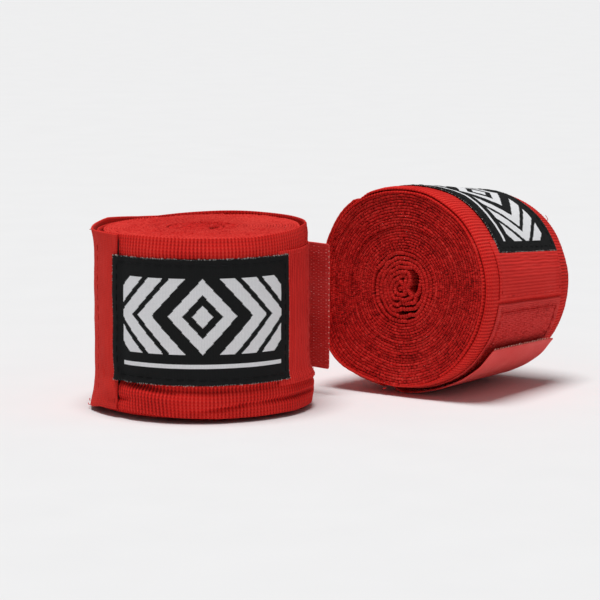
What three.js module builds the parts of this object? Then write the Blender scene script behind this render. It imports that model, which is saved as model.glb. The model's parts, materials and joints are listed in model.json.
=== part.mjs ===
// A pair of elastic hand wraps as they come: each is one long ribbed band wound into a tight roll and
// closed by a hook tape. One roll stands on end and the other lies on its side behind it.
// Lengths are in millimetres and angles in degrees.
//
// Each roll has a frame of its own: +Z along its axis towards the label's upper edge. Winding angles
// are seen from +Z, grow anticlockwise, and run inwards along the band from its outer end to the core,
// so a smaller angle is nearer to the free end of the wrap.

import * as THREE from 'three';

// Band and roll
const BAND_WIDTH = 50;
const BAND_THICKNESS = 0.53;
const CLEARANCE = 0.3;
const TURN_PITCH = BAND_THICKNESS + CLEARANCE;
const OUTER_RADIUS = 29.8;
const BAND_END = 198;
const COIL_TURNS = 28;
const CORE_TURNS = 2.25;
const COIL_STEP = 22.5;

// Thumb loop, folded back along the inner face of the band's first turns
const LOOP_WIDTH = 18;
const LOOP_THICKNESS = 0.4;
const LOOP_TURNS = 1.75;
const LOOP_END_WALL = 20;
const LOOP_FOLD_WALL = 5;
const LOOP_STITCH_SIZE = 0.5;
const LOOP_STITCH_LENGTH = 14;

// Pieces sewn to the outer end of the band
const FINE_STEP = 7.6;
const STRAP = { from: 95, to: 221.5, thickness: 0.6 };
const STRAP_STEP_DOWN = { from: 184, to: 196 };
const STRAP_RISE = { from: 112, to: 136 };
const LABEL = { from: 219.2, to: 324.1, thickness: 0.6, height: 35.4 };
const LABEL_OFFSET = 1.7;
const BACKING = { from: 316, to: 350.8, thickness: 0.6, height: 38 };
const PATCH = { from: 353.2, to: 443.5, thickness: 0.9, height: 38 };

// Hook tape: a fixed stretch under the end of the strap and a free tab of three links
const TAPE = { from: 72, to: 110, thickness: 0.8, height: 37 };
const TAPE_STEP_DOWN = { from: 84, to: 92 };
const LINK_LENGTH = 10.7;
const LINK_GAP = 0.25;
const TAB_CORNER = 2;

// Thread
const THREAD = 0.25;
const RAIL = 0.4;
const STITCH_INSET = 1.6;
const SEAM_ANGLE = 200;
const SEAM_MARGIN = 3;

// How each roll was wound and put down. taper is the share of its radius that a roll loses over its width.
const STANDING = {
  name: 'standing',
  looseness: 0.8,
  taper: 0,
  axialShift: { end: 0.5, peak: 3 },
  tabTurns: [0, 12, 12],
};
const LYING = {
  name: 'lying',
  looseness: 0,
  taper: 0.1,
  axialShift: { end: 0, peak: 0.4 },
  tabTurns: [4, 18, 18],
};
const SHIFT_RISE = { from: 200, to: 350 };
const SHIFT_FALL = { from: 415, to: 520 };
const LYING_YAW = 36;
const LYING_ROLL = 12;
const LYING_CENTRE = [72.4, 34];

const COLOURS = {
  band: 0xa8201c,
  strap: 0xa52320,
  label: 0x161817,
  labelThread: 0x2a2c2c,
  backing: 0xb02a26,
  patch: 0xa3211f,
  tape: 0x98191a,
  thread: 0xb3302c,
};

const radians = THREE.MathUtils.degToRad;

function smooth(value, from, to) {
  return THREE.MathUtils.smoothstep(value, from, to);
}

function cloth(colour, roughness = 0.9) {
  return new THREE.MeshStandardMaterial({ color: colour, roughness, metalness: 0 });
}

function evenAngles(from, to, step) {
  const count = Math.ceil((to - from) / step - 1e-6);
  return Array.from({ length: count + 1 }, (_, i) => from + ((to - from) * i) / count);
}

// Share of the full radius that a tapered roll has at height z.
function narrowing(taper, z) {
  return 1 - (taper * z) / BAND_WIDTH;
}

// Builds a closed plate that bends round the roll's axis. angles and rows span a grid of cells, solid
// says which cells hold material, radius gives the middle of the thickness, and lift moves it along Z.
// taper narrows the plate towards the far end of the roll.
function bentPlate({ angles, rows, thickness, radius, lift = () => 0, solid = () => true, taper = 0 }) {
  const positions = [];
  for (const angle of angles) {
    const c = Math.cos(radians(angle));
    const s = Math.sin(radians(angle));
    for (const row of rows) {
      for (const side of [-0.5, 0.5]) {
        const z = row + lift(angle);
        const r = (radius(angle) + side * thickness) * narrowing(taper, z);
        positions.push(r * c, r * s, z);
      }
    }
  }
  const inner = (i, j) => 2 * (i * rows.length + j);
  const outer = (i, j) => inner(i, j) + 1;
  const filled = (i, j) =>
    i >= 0 && j >= 0 && i < angles.length - 1 && j < rows.length - 1 && solid(i, j);
  const index = [];
  const quad = (a, b, c, d) => index.push(a, b, c, a, c, d);
  for (let i = 0; i < angles.length - 1; i++) {
    for (let j = 0; j < rows.length - 1; j++) {
      if (!filled(i, j)) continue;
      quad(outer(i, j), outer(i + 1, j), outer(i + 1, j + 1), outer(i, j + 1));
      quad(inner(i, j), inner(i, j + 1), inner(i + 1, j + 1), inner(i + 1, j));
      if (!filled(i, j - 1)) quad(inner(i, j), inner(i + 1, j), outer(i + 1, j), outer(i, j));
      if (!filled(i, j + 1)) {
        quad(inner(i, j + 1), outer(i, j + 1), outer(i + 1, j + 1), inner(i + 1, j + 1));
      }
      if (!filled(i - 1, j)) quad(inner(i, j), outer(i, j), outer(i, j + 1), inner(i, j + 1));
      if (!filled(i + 1, j)) {
        quad(inner(i + 1, j), inner(i + 1, j + 1), outer(i + 1, j + 1), outer(i + 1, j));
      }
    }
  }
  const geometry = new THREE.BufferGeometry();
  geometry.setAttribute('position', new THREE.Float32BufferAttribute(positions, 3));
  geometry.setIndex(index);
  geometry.computeVertexNormals();
  return geometry;
}

// A rectangular line of thread: two rails along the winding joined by two across it.
function bentFrame({ from, to, low, high, radius, taper }) {
  const railAngle = THREE.MathUtils.radToDeg(RAIL / OUTER_RADIUS);
  const middle = evenAngles(from + railAngle, to - railAngle, FINE_STEP);
  const angles = [from, ...middle, to];
  const rows = [low, low + RAIL, high - RAIL, high];
  const last = angles.length - 2;
  const solid = (i, j) => i === 0 || i === last || j !== 1;
  return bentPlate({ angles, rows, thickness: THREAD, radius, solid, taper });
}

// The radii of one roll's layers, as functions of the winding angle.
function windingOf(roll) {
  const coreStart = BAND_END + 360 * COIL_TURNS;
  const corePitch = TURN_PITCH + 2 * (LOOP_THICKNESS + CLEARANCE);
  const loose = (angle) => roll.looseness * THREE.MathUtils.clamp(1 - (angle - BAND_END) / 360, 0, 1);
  const band = (angle) => {
    const coil = (Math.min(angle, coreStart) - BAND_END) / 360;
    const core = Math.max(angle - coreStart, 0) / 360;
    return OUTER_RADIUS - TURN_PITCH * coil - corePitch * core + loose(angle);
  };
  const above = (radius, lower, upper) => (angle) =>
    radius(angle) + lower / 2 + CLEARANCE + upper / 2;
  const onBand = (thickness) => above(band, BAND_THICKNESS, thickness);
  const strapOverBand = onBand(STRAP.thickness);
  const patch = onBand(PATCH.thickness);
  const tapeOverPatch = above(patch, PATCH.thickness, TAPE.thickness);
  const tape = (angle) => {
    const offPatch = smooth(angle, TAPE_STEP_DOWN.from, TAPE_STEP_DOWN.to);
    const drop = (PATCH.thickness + CLEARANCE) * offPatch;
    return tapeOverPatch(angle + 360) - drop;
  };
  const strapOverTape = above(tape, TAPE.thickness, STRAP.thickness);
  const strap = (angle) => {
    const onOverlap = smooth(angle, STRAP_STEP_DOWN.from, STRAP_STEP_DOWN.to);
    const onCoil = smooth(angle, STRAP_RISE.from, STRAP_RISE.to);
    const low = THREE.MathUtils.lerp(band(angle), strapOverBand(angle), onOverlap);
    return THREE.MathUtils.lerp(strapOverTape(angle), low, onCoil);
  };
  const label = above(strapOverBand, STRAP.thickness, LABEL.thickness);
  const rise = ({ end, peak }, angle) =>
    angle < SHIFT_FALL.from
      ? THREE.MathUtils.lerp(end, peak, smooth(angle, SHIFT_RISE.from, SHIFT_RISE.to))
      : peak * (1 - smooth(angle, SHIFT_FALL.from, SHIFT_FALL.to));
  const lift = (angle) => rise(roll.axialShift, angle);
  const { taper } = roll;
  return { taper, coreStart, above, band, onBand, strap, label, patch, tape, strapOverTape, lift };
}

function middleRows(height) {
  return [(BAND_WIDTH - height) / 2, (BAND_WIDTH + height) / 2];
}

function makeBand(winding) {
  const innerEnd = winding.coreStart + 360 * CORE_TURNS;
  return bentPlate({
    angles: evenAngles(BAND_END, innerEnd, COIL_STEP),
    rows: [0, BAND_WIDTH],
    thickness: BAND_THICKNESS,
    radius: winding.band,
    lift: winding.lift,
    taper: winding.taper,
  });
}

// The loop is a closed ring of narrow tape pressed flat, so that its two layers lie side by side.
function makeThumbLoop(winding) {
  const start = winding.coreStart + COIL_STEP;
  const end = winding.coreStart + 360 * LOOP_TURNS;
  const outerFace = -BAND_THICKNESS / 2 - CLEARANCE;
  const innerFace = outerFace - 2 * LOOP_THICKNESS - CLEARANCE;
  const line = (from, to, offset) =>
    evenAngles(from, to, COIL_STEP).map((angle) => {
      const r = winding.band(angle) + offset;
      return new THREE.Vector2(r * Math.cos(radians(angle)), r * Math.sin(radians(angle)));
    });
  const outline = (from, to, outward, inward) => [
    ...line(from, to, outward),
    ...line(from, to, inward).reverse(),
  ];
  const ring = new THREE.Shape(outline(start, end, outerFace, innerFace));
  const slit = outline(
    start + LOOP_FOLD_WALL,
    end - LOOP_END_WALL,
    outerFace - LOOP_THICKNESS,
    innerFace + LOOP_THICKNESS,
  );
  ring.holes.push(new THREE.Path(slit));
  const geometry = new THREE.ExtrudeGeometry(ring, { depth: LOOP_WIDTH, bevelEnabled: false });
  geometry.translate(0, 0, (BAND_WIDTH - LOOP_WIDTH) / 2);
  const position = geometry.attributes.position;
  for (let i = 0; i < position.count; i++) {
    const share = narrowing(winding.taper, position.getZ(i));
    position.setXY(i, position.getX(i) * share, position.getY(i) * share);
  }
  return geometry;
}

function makeThumbLoopStitching() {
  const size = LOOP_STITCH_SIZE;
  const geometry = new THREE.BoxGeometry(size, size, LOOP_STITCH_LENGTH);
  geometry.translate(0, 0, BAND_WIDTH / 2);
  return geometry;
}

function sewnPlate(piece, radius, level, taper) {
  return bentPlate({
    angles: evenAngles(piece.from, piece.to, FINE_STEP),
    rows: middleRows(piece.height),
    thickness: piece.thickness,
    radius,
    lift: () => level,
    taper,
  });
}

// Thread sewn on top of a piece, inset from its edges.
function stitchesOn(piece, radius, winding, level) {
  const inset = THREE.MathUtils.radToDeg(STITCH_INSET / OUTER_RADIUS);
  const [low, high] = middleRows(piece.height);
  return bentFrame({
    from: piece.from + inset,
    to: piece.to - inset,
    low: low + STITCH_INSET + level,
    high: high - STITCH_INSET + level,
    radius: winding.above(radius, piece.thickness, THREAD),
    taper: winding.taper,
  });
}

// Thread oversewn round the edge of the loop patch, no higher than the patch itself.
function makePatchStitching(winding, level) {
  const reach = THREE.MathUtils.radToDeg((CLEARANCE + RAIL) / OUTER_RADIUS);
  const [low, high] = middleRows(PATCH.height);
  return bentFrame({
    from: PATCH.from - reach,
    to: PATCH.to + reach,
    low: low - CLEARANCE - RAIL + level,
    high: high + CLEARANCE + RAIL + level,
    radius: winding.onBand(THREAD),
    taper: winding.taper,
  });
}

function makeStrap(winding, level) {
  return bentPlate({
    angles: evenAngles(STRAP.from, STRAP.to, FINE_STEP / 2),
    rows: [level, BAND_WIDTH + level],
    thickness: STRAP.thickness,
    radius: winding.strap,
    taper: winding.taper,
  });
}

function makeSeamStitching(winding, level) {
  const width = THREE.MathUtils.radToDeg(RAIL / OUTER_RADIUS);
  return bentPlate({
    angles: [SEAM_ANGLE, SEAM_ANGLE + width],
    rows: [SEAM_MARGIN + level, BAND_WIDTH - SEAM_MARGIN + level],
    thickness: THREAD,
    radius: winding.above(winding.strap, STRAP.thickness, THREAD),
    taper: winding.taper,
  });
}

// One straight link of the tab, along +X from its hinge. The last link has rounded corners.
function makeLink(isLast) {
  const start = LINK_GAP;
  const end = isLast ? LINK_LENGTH : LINK_LENGTH - LINK_GAP;
  const half = TAPE.height / 2;
  const shape = new THREE.Shape();
  shape.moveTo(start, -half);
  if (isLast) {
    shape.lineTo(end - TAB_CORNER, -half);
    shape.absarc(end - TAB_CORNER, -half + TAB_CORNER, TAB_CORNER, -Math.PI / 2, 0, false);
    shape.absarc(end - TAB_CORNER, half - TAB_CORNER, TAB_CORNER, 0, Math.PI / 2, false);
  } else {
    shape.lineTo(end, -half);
    shape.lineTo(end, half);
  }
  shape.lineTo(start, half);
  const options = { depth: TAPE.thickness, bevelEnabled: false, curveSegments: 4 };
  const geometry = new THREE.ExtrudeGeometry(shape, options);
  geometry.translate(0, 0, -TAPE.thickness / 2);
  geometry.rotateX(Math.PI / 2);
  return geometry;
}

// Angle between a roll's side and its axis.
function sideLean(roll, winding) {
  return Math.atan((roll.taper * winding.tape(TAPE.from)) / BAND_WIDTH);
}

function makeRoll(roll) {
  const winding = windingOf(roll);
  const group = new THREE.Group();
  const add = (name, geometry, material, parent = group) => {
    const mesh = new THREE.Mesh(geometry, material);
    mesh.name = `${roll.name}_${name}`;
    parent.add(mesh);
  };
  const labelLevel = LABEL_OFFSET + winding.lift((LABEL.from + LABEL.to) / 2);
  const endLevel = winding.lift(STRAP.from);
  const tapeArc = { ...TAPE, from: TAPE.from + THREE.MathUtils.radToDeg(LINK_GAP / OUTER_RADIUS) };
  const sewnTape = { ...STRAP, to: TAPE.to, height: TAPE.height };
  const patchLevel = winding.lift((PATCH.from + PATCH.to) / 2);
  const backingRadius = winding.onBand(BACKING.thickness);
  const shownBacking = { ...BACKING, from: LABEL.to };

  add('band', makeBand(winding), cloth(COLOURS.band));
  add('thumb_loop', makeThumbLoop(winding), cloth(COLOURS.strap));
  add('thumb_loop_stitching', makeThumbLoopStitching(), cloth(COLOURS.thread));
  add('closing_strap', makeStrap(winding, endLevel), cloth(COLOURS.strap));
  add('strap_seam_stitching', makeSeamStitching(winding, endLevel), cloth(COLOURS.thread));
  add('label', sewnPlate(LABEL, winding.label, labelLevel, roll.taper), cloth(COLOURS.label));
  add('label_stitching', stitchesOn(LABEL, winding.label, winding, labelLevel),
    cloth(COLOURS.labelThread));
  add('backing_tape', sewnPlate(BACKING, backingRadius, patchLevel, roll.taper), cloth(COLOURS.backing));
  add('backing_tape_stitching', stitchesOn(shownBacking, backingRadius, winding, patchLevel),
    cloth(COLOURS.thread));
  add('loop_patch', sewnPlate(PATCH, winding.patch, patchLevel, roll.taper), cloth(COLOURS.patch, 1));
  add('loop_patch_stitching', makePatchStitching(winding, patchLevel), cloth(COLOURS.thread));
  add('hook_tape', sewnPlate(tapeArc, winding.tape, endLevel, roll.taper), cloth(COLOURS.tape, 0.7));
  add('hook_tape_stitching', stitchesOn(sewnTape, winding.strapOverTape, winding, endLevel),
    cloth(COLOURS.thread));

  // The tab's hinges run along the roll in the middle of the tape's thickness, and lean as its side does.
  const hingeHeight = BAND_WIDTH / 2 + endLevel;
  const tangentFrame = new THREE.Group();
  tangentFrame.rotation.z = radians(TAPE.from);
  const leaning = new THREE.Group();
  leaning.position.set(winding.tape(TAPE.from) * narrowing(roll.taper, hingeHeight), 0, hingeHeight);
  leaning.rotation.y = -sideLean(roll, winding);
  let hinge = new THREE.Group();
  hinge.rotation.z = -Math.PI / 2 - radians(roll.tabTurns[0]);
  group.add(tangentFrame);
  tangentFrame.add(leaning);
  leaning.add(hinge);
  for (let link = 1; link <= roll.tabTurns.length; link++) {
    const isLast = link === roll.tabTurns.length;
    add(`tab_link_${link}`, makeLink(isLast), cloth(COLOURS.tape, 0.7), hinge);
    if (isLast) break;
    const next = new THREE.Group();
    next.position.x = LINK_LENGTH;
    next.rotation.z = -radians(roll.tabTurns[link]);
    hinge.add(next);
    hinge = next;
  }
  return group;
}

// Lays a roll on its side with its lowest line level, turned by LYING_YAW from +Y towards +X.
function layDown(roll) {
  const group = makeRoll(roll);
  group.position.z = -BAND_WIDTH / 2;
  const spun = new THREE.Group();
  spun.add(group);
  spun.rotation.z = radians(LYING_ROLL);
  const tipped = new THREE.Group();
  tipped.add(spun);
  tipped.rotation.x = -Math.PI / 2 - sideLean(roll, windingOf(roll));
  const turned = new THREE.Group();
  turned.add(tipped);
  turned.rotation.z = -radians(LYING_YAW);
  turned.position.set(LYING_CENTRE[0], LYING_CENTRE[1], 0);
  turned.updateMatrixWorld(true);
  turned.position.z = -new THREE.Box3().setFromObject(turned, true).min.z;
  return turned;
}

const group = new THREE.Group();
group.add(makeRoll(STANDING));
group.add(layDown(LYING));
group.updateMatrixWorld(true);

// The origin is the middle of the pair's footprint, on the surface that it rests on.
const extent = new THREE.Box3().setFromObject(group, true);
const middle = extent.getCenter(new THREE.Vector3());
group.position.set(-middle.x, -middle.y, -extent.min.z);
group.updateMatrixWorld(true);

export default group;
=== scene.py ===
# Visual model of a pair of elastic hand wraps: one roll stands on end and the other lies on its side.
# Shapes are worked out in millimetres in each roll's own frame, where +Z runs along the roll's axis and
# winding angles, in degrees, grow inwards along the band, and are then placed in the shared frame.
import json
import math

import bpy
import numpy as np
from mathutils import Matrix, Vector


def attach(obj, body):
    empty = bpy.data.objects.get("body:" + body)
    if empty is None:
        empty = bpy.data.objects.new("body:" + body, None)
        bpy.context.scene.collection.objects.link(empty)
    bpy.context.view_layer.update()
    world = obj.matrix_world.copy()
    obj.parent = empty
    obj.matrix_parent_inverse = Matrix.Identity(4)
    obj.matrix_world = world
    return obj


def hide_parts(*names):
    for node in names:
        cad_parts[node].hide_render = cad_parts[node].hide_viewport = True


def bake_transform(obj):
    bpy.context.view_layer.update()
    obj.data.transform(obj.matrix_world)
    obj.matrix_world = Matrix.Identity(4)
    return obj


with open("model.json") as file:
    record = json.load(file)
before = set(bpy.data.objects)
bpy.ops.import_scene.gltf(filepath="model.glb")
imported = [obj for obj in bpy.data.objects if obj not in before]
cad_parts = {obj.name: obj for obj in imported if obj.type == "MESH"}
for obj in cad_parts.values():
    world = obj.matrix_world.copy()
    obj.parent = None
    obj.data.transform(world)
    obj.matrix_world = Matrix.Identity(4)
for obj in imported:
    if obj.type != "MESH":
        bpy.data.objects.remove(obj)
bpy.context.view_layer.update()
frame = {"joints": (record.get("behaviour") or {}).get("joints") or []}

MM = 0.001

# Driving dimensions, the same as in the CAD model
BAND_WIDTH = 50.0
BAND_THICKNESS = 0.53
CLEARANCE = 0.3
TURN_PITCH = BAND_THICKNESS + CLEARANCE
OUTER_RADIUS = 29.8
BAND_END = 198.0
STRAP_STEP_DOWN = (184.0, 196.0)
STRAP_RISE = (112.0, 136.0)
TAPE_STEP_DOWN = (84.0, 92.0)
LINK_LENGTH = 10.7
TAB_LINKS = 3
SHIFT_RISE = (200.0, 350.0)
SHIFT_FALL = (415.0, 520.0)
LOOP_WIDTH = 18.0
LOOP_LENGTH = 70.0

# Fine shape of the cloth, whose pieces are drawn with their own thicknesses and set back to make room
DRAWN = {"band": 0.6, "strap": 0.66, "label": 0.42, "backing": 0.4, "patch": 0.45, "tape": 0.45}
SETBACK = 0.04
RIB_PITCH = 1.05
RIB_STEPS = 4
COIL_FROM = 768.0
SHOWN_CORE = BAND_END + 360 * 23
COIL_RIM = {"depth": 0.4, "share": 0.76}
HEM = 12.0
FINE_STEPS = np.array([0, 0.24, 0.6, 1.2])
NOISE_WAVES = 9
STRAP_DROOP = 1.7
STRAP_SINK = 0.22
PATCH_BASE = BAND_THICKNESS / 2 + 0.3
SEAM_ANGLES = (200.0, 219.3)
THREAD_RADIUS = 0.13
TAPE_SPLIT = 81.0
TAB_CORNER = 0.8
HOOK_PITCH = 1.0


# ------------------------------ numbers
def smooth(value, low, high):
    t = np.clip((np.asarray(value, float) - low) / (high - low), 0, 1)
    return t * t * (3 - 2 * t)


def mix(a, b, t):
    return a + (b - a) * t


def noise(seed, size, x, y=0.0):
    """Smooth seeded noise of about -1 to 1, whose bumps are about size apart."""
    rng = np.random.default_rng(seed)
    total = 0.0
    for _ in range(NOISE_WAVES):
        turn, shift = rng.uniform(0, math.tau, 2)
        pace = math.tau / size * rng.uniform(0.5, 1.5)
        total = total + np.sin(pace * (x * math.cos(turn) + y * math.sin(turn)) + shift)
    return total / math.sqrt(2 * NOISE_WAVES)


def hump(value, centre, spread):
    return np.exp(-(((value - centre) / spread) ** 2))


def angle_hump(angle, centre, spread):
    """A hump on the circle, the same on every turn."""
    return hump((np.asarray(angle) - centre + 180) % 360 - 180, 0, spread)


def arc_mm(angle):
    return np.radians(angle) * OUTER_RADIUS


def arc_angle(length):
    return math.degrees(length / OUTER_RADIUS)


def unit(vectors):
    return vectors / np.linalg.norm(vectors, axis=-1, keepdims=True)


def travel(path):
    """Length along a path up to each of its points."""
    return np.concatenate([[0], np.cumsum(np.linalg.norm(np.diff(path, axis=0), axis=1))])


def rotation(degrees, axis):
    return np.array(Matrix.Rotation(math.radians(degrees), 3, axis))


def polar(angle, radius, z):
    a = np.radians(angle)
    return np.stack(np.broadcast_arrays(radius * np.cos(a), radius * np.sin(a), z), axis=-1)


class Sewn:
    """A flat piece bent round the roll between two winding angles, offset from the middle of the band."""

    def __init__(self, start, end, thickness, height, offset=0.0):
        self.start, self.end, self.thickness, self.height = start, end, thickness, height
        self.offset = offset
        self.low = (BAND_WIDTH - height) / 2
        self.high = BAND_WIDTH - self.low
        self.length = float(arc_mm(end - start))

    def angles(self, step, edge=0.8):
        return edge_steps(self.start, self.end, step, edge)

    def rows(self, step):
        return edge_steps(self.low, self.high, step)

    def border(self, along, across):
        """Distance from the nearest edge."""
        ends = np.minimum(along, along.max() - along)
        return np.minimum(np.minimum(across, self.height - across), ends)


# Winding angles of both ends, thickness and height, the same as in the CAD model
STRAP = Sewn(95.0, 221.5, 0.6, BAND_WIDTH)
LABEL = Sewn(219.2, 324.1, 0.6, 35.4, offset=1.7)
BACKING = Sewn(316.0, 350.8, 0.6, 38.0)
PATCH = Sewn(353.2, 443.5, 0.9, 38.0)
TAPE = Sewn(72.0, 110.0, 0.8, 37.0)


# ------------------------------ rolls
class Roll:
    """One wound wrap: where it is, and the radius of each layer at a winding angle."""

    creases = ()
    spin = 0.0  # degrees that the lying roll is turned about its axis
    looseness = 0.0  # millimetres that the first turn stands off
    taper = 0.0  # share of the radius lost between the two ends
    end_shift = 0.0  # millimetres that the band's end has slipped along the axis
    peak_shift = 0.0  # the most that it has slipped further in
    end_sink = 0.4  # millimetres that the band's end presses into the roll
    squeeze = 1.0  # share of their full radius that the inner turns have
    dome = (0.0, 0.0, 0.0)  # rise of the coil's far end: everywhere, at the core, towards one side
    undercut = (0.0, 1.0, 0.0, 0.0)  # rise of its near end: angle, spread, millimetres, from which radius
    bulges = ()  # angle, spread and millimetres out of round
    tab_curl = (0.0, 0.0, 0.0)  # how far the tab is straightened, then its tip moved inwards and back
    tab_rise = 0.0  # millimetres that the tab sits off the middle
    tip_reach = (0.35, 0.8)  # least and most that hook tips stand out past the tab
    loose = ()  # angle, height and length of threads that have come free

    def __init__(self, name, seed, humps, rim, **shape):
        self.name, self.seed, self.humps, self.rim = name, seed, humps, np.array(rim, float).T
        vars(self).update(shape)
        joint = self.joint("lift")
        axis = joint["axis"]
        radius = float(self.tape(TAPE.start))
        self.turn = rotation(self.spin, "Z")
        lies_down = axis[2] < 0.5
        if lies_down:
            lean = math.atan(self.taper * radius / BAND_WIDTH)
            self.turn = rotation(-90 - math.degrees(lean), "X") @ self.turn
            side = self.turn @ polar(TAPE.start, -math.sin(lean), math.cos(lean))
            yaw = math.degrees(math.atan2(axis[1], axis[0]) - math.atan2(side[1], side[0]))
            self.turn = rotation(yaw, "Z") @ self.turn
        height = BAND_WIDTH / 2 + self.end_shift
        hinge = polar(TAPE.start, radius * self.narrowing(height), height)
        self.origin = np.array(joint["pos_m"]) / MM - self.turn @ hinge

    def joint(self, name):
        return next(j for j in frame["joints"] if j["name"] == f"{self.name}_tab_{name}")

    def noise(self, number, size, x, y=0.0):
        return noise(self.seed + number, size, x, y)

    def dice(self, number):
        return np.random.default_rng(self.seed + number)

    def narrowing(self, z):
        """Share of the full radius at height z on a tapered roll."""
        return 1 - self.taper * z / BAND_WIDTH

    def bulge(self, angle, radius):
        """Share that all layers stand out where the whole roll is out of round."""
        total = sum(height * angle_hump(angle, centre, spread) for centre, spread, height in self.bulges)
        return total / OUTER_RADIUS * np.minimum(radius / OUTER_RADIUS, 1) ** 2

    def place(self, points):
        """Roll frame in millimetres to shared frame in metres."""
        angle = np.degrees(np.arctan2(points[..., 1:2], points[..., :1]))
        radius = np.linalg.norm(points[..., :2], axis=-1, keepdims=True)
        share = self.narrowing(points[..., 2:]) * (1 + self.bulge(angle, radius))
        shaped = np.concatenate([points[..., :2] * share, points[..., 2:]], axis=-1)
        return (shaped @ self.turn.T + self.origin) * MM

    def local(self, point):
        """Shared frame in metres to roll frame in millimetres."""
        x, y, z = (np.array(point) / MM - self.origin) @ self.turn
        return np.array([x / self.narrowing(z), y / self.narrowing(z), z])

    def band(self, angle):
        angle = np.asarray(angle, float)
        loose = self.looseness * np.clip(1 - (angle - BAND_END) / 360, 0, 1)
        return OUTER_RADIUS - TURN_PITCH * (angle - BAND_END) / 360 + loose

    def on_band(self, angle, thickness):
        return self.band(angle) + BAND_THICKNESS / 2 + CLEARANCE + thickness / 2

    def tape(self, angle):
        patch = self.on_band(np.asarray(angle, float) + 360, PATCH.thickness)
        drop = (PATCH.thickness + CLEARANCE) * smooth(angle, *TAPE_STEP_DOWN)
        return patch + PATCH.thickness / 2 + CLEARANCE + TAPE.thickness / 2 - drop

    def strap(self, angle):
        over_tape = self.tape(angle) + TAPE.thickness / 2 + CLEARANCE + STRAP.thickness / 2
        over_band = self.on_band(angle, STRAP.thickness)
        low = mix(self.band(angle), over_band, smooth(angle, *STRAP_STEP_DOWN))
        return mix(over_tape, low, smooth(angle, *STRAP_RISE))

    def lift(self, angle):
        """How far a layer has slipped along the axis."""
        rise = mix(self.end_shift, self.peak_shift, smooth(angle, *SHIFT_RISE))
        fall = self.peak_shift * (1 - smooth(angle, *SHIFT_FALL))
        return np.where(np.asarray(angle) < SHIFT_FALL[0], rise, fall)

    def sink(self, angle):
        """How far the end of the band and the pieces on it press into the roll."""
        fade = 1 - smooth(angle, STRAP.end + 1, STRAP.end + 12)
        return self.end_sink * smooth(angle, *STRAP_STEP_DOWN) * fade

    def top(self, angle, radius):
        """How far the coil's far end rises above the band's width, domed and leaning towards one side."""
        rise, middle, side = self.dome
        share = (radius / OUTER_RADIUS) ** 2
        return rise + middle * (1 - share) + side * share * angle_hump(angle, 40, 75)

    def hollow(self, angle, radius):
        """How far the coil's near end stands up off the floor beside a lifted hem."""
        centre, spread, height, inner = self.undercut
        return height * angle_hump(angle, centre, spread) * smooth(radius, inner, inner + 2)

    def edge_level(self, angle, z):
        """How far the outer turn and the strap stand off their place along the axis."""
        far, near = (np.interp(angle, self.rim[0], self.rim[k]) for k in (1, 2))
        return mix(near, far, z / BAND_WIDTH)

    def turn_level(self, angle, z):
        return self.lift(angle) + self.edge_level(angle, z)

    def strap_level(self, angle, z):
        return self.end_shift + self.edge_level(angle, z)

    def level_of(self, piece):
        """How far a piece sewn on the band sits above the middle of the roll."""
        return piece.offset + float(self.lift((piece.start + piece.end) / 2))

    def swell(self, angle, z):
        """How far the outer layers stand off or pull in, from the listed humps."""
        total = 0.0
        for centre, spread, level, reach, height in self.humps:
            total = total + height * angle_hump(angle, centre, spread) * hump(z, level, reach)
        uneven = 0.12 * self.noise(0, 17, arc_mm(np.asarray(angle) % 360), z)
        return (total + uneven) * (1 - smooth(angle, COIL_FROM - 45, COIL_FROM))

    def creased(self, angle, z):
        """Folds of the outermost cloth along the listed lines."""
        total = 0.0 * z
        for a, low, b, high, width, depth in self.creases:
            share = np.clip((angle - a) / (b - a), 0, 1)
            away = np.hypot(arc_mm(angle - mix(a, b, share)), z - mix(low, high, share))
            total = total + depth * hump(away, 0, width) * np.sin(np.pi * np.clip(share, 0.1, 0.9))
        return total

    def over(self, lift):
        """Radius function of a thin layer, lift above the middle of the band."""
        return lambda angle, z: self.band(angle) + lift + self.swell(angle, z)


# ------------------------------ meshes
def make_object(roll, name, points, faces, material, **attributes):
    """Places a closed skin and keeps its cloth coordinates."""
    mesh = bpy.data.meshes.new(name)
    mesh.from_pydata(roll.place(points.reshape(-1, 3)).tolist(), [], faces)
    for label, values in attributes.items():
        layer = mesh.attributes.new(label, "FLOAT", "POINT")
        layer.data.foreach_set("value", np.asarray(values, np.float32).ravel())
    mesh.shade_smooth()
    mesh.materials.append(MATERIALS[material])
    obj = bpy.data.objects.new(f"{roll.name}_{name}_shown", mesh)
    bpy.context.scene.collection.objects.link(obj)
    return obj


def signed_volume(rings):
    """Volume inside a row of rings, negative if its faces would point in."""
    a, b = rings[:-1], rings[1:]
    c, d = np.roll(b, -1, axis=1), np.roll(a, -1, axis=1)
    total = np.einsum("ijk,ijk->", a, np.cross(d, c)) + np.einsum("ijk,ijk->", a, np.cross(c, b))
    for ring, sign in ((rings[0], -1), (rings[-1], 1)):
        middle = ring.mean(axis=0)
        total += sign * np.einsum("jk,jk->", middle + 0 * ring, np.cross(ring, np.roll(ring, -1, axis=0)))
    return total


def skin_faces(rings, start=0):
    """Faces of a skin through n rings of m points, capped at both ends and turned outwards."""
    n, m = rings.shape[:2]
    i, j = np.meshgrid(np.arange(n - 1), np.arange(m), indexing="ij")
    k = (j + 1) % m
    quads = np.stack([i * m + j, i * m + k, (i + 1) * m + k, (i + 1) * m + j], -1).reshape(-1, 4)
    caps = [np.arange(m)[::-1], np.arange((n - 1) * m, n * m)]
    faces = (quads + start).tolist() + [(cap + start).tolist() for cap in caps]
    inside_out = signed_volume(rings - rings.mean(axis=(0, 1))) < 0
    return [face[::-1] for face in faces] if inside_out else faces


def loft(roll, name, rings, material, **attributes):
    return make_object(roll, name, rings, skin_faces(rings), material, **attributes)


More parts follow.
